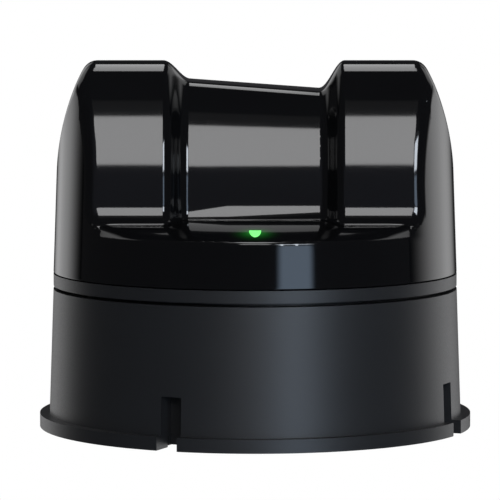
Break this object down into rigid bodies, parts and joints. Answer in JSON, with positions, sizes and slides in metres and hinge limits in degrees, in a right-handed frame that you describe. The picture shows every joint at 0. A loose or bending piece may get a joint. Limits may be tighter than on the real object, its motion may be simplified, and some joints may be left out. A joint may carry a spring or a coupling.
{
  "type": "rotating lidar scanner module",
  "caption": "Compact spinning lidar scanner: glossy black two-tower head turning on a flanged round base with keying slots.",
  "frame": {"origin": "centre of the base's resting face, on the spin axis", "axes": "+Z along the spin axis, up through the head; the optical windows face -Y at rest; +X to their right as seen from the front"},
  "size_m": [0.0554, 0.0554, 0.0472],
  "materials": {
    "black_matte": "fine spark-eroded black moulding",
    "black_gloss": "high-gloss infrared-passing black",
    "steel": "bright machined steel",
    "brass": "turned brass",
    "copper_wire": "enamelled copper winding",
    "ferrite": "sintered dark grey",
    "circuit_board": "green solder mask over glass fibre",
    "chip_black": "moulded package",
    "ivory_plastic": "natural nylon",
    "led_white": "lamp package",
    "light_green": "lit green light guide",
    "alloy": "die-cast, bead blasted",
    "lens_glass": "coated lens",
    "filter_glass": "dark red interference filter",
    "flex_amber": "polyimide flexible circuit"
  },
  "bodies": {
    "base": {"base_housing": "black_matte", "bottom_cover": "black_matte", "cover_screws": "steel", "mounting_inserts": "brass", "base_board": "circuit_board", "base_chips": "chip_black", "base_capacitors": "steel", "base_board_screws": "steel", "connector_housing": "ivory_plastic", "connector_pins": "brass", "bearing_holder": "brass", "holder_screws": "steel", "stator_core": "steel", "stator_coils": "copper_wire", "lower_bearing_outer": "steel", "upper_bearing_outer": "steel", "preload_spring": "steel", "coil_carrier": "black_matte", "lower_ferrite": "ferrite", "lower_coil": "copper_wire", "data_emitter": "led_white", "index_sensor": "chip_black"},
    "ball_set": {"lower_balls": "steel", "upper_balls": "steel", "lower_cage": "brass", "upper_cage": "brass"},
    "head": {"rotor_tray": "black_matte", "shaft": "steel", "lower_bearing_inner": "steel", "upper_bearing_inner": "steel", "retaining_clip": "steel", "rotor_yoke": "steel", "magnet_ring": "ferrite", "yoke_screws": "steel", "upper_ferrite": "ferrite", "upper_coil": "copper_wire", "encoder_ring": "steel", "cap": "black_gloss", "cap_screws": "steel", "head_board": "circuit_board", "head_board_screws": "steel", "head_chips": "chip_black", "data_detector": "chip_black", "status_led": "led_white", "light_pipe": "light_green", "optics_chassis": "alloy", "chassis_screws": "steel", "emitter_barrel": "brass", "emitter_lens": "lens_glass", "laser_diode": "steel", "emitter_board": "circuit_board", "receiver_hood": "black_matte", "receiver_lens": "lens_glass", "receiver_filter": "filter_glass", "detector_chip": "chip_black", "receiver_board": "circuit_board", "light_baffle": "black_matte", "ribbon_cables": "flex_amber", "balance_weight": "steel"}
  },
  "joints": [
    {"name": "head_spin", "type": "hinge", "parent": "base", "child": "head", "pos_m": [0, 0, 0.01815], "axis": [0, 0, 1], "continuous": true},
    {"name": "ball_set_spin", "type": "hinge", "parent": "base", "child": "ball_set", "pos_m": [0, 0, 0.0093], "axis": [0, 0, 1], "continuous": true}
  ],
  "couplings": [
    {"joint": "ball_set_spin", "follows": "head_spin", "ratio": 0.4083}
  ]
}
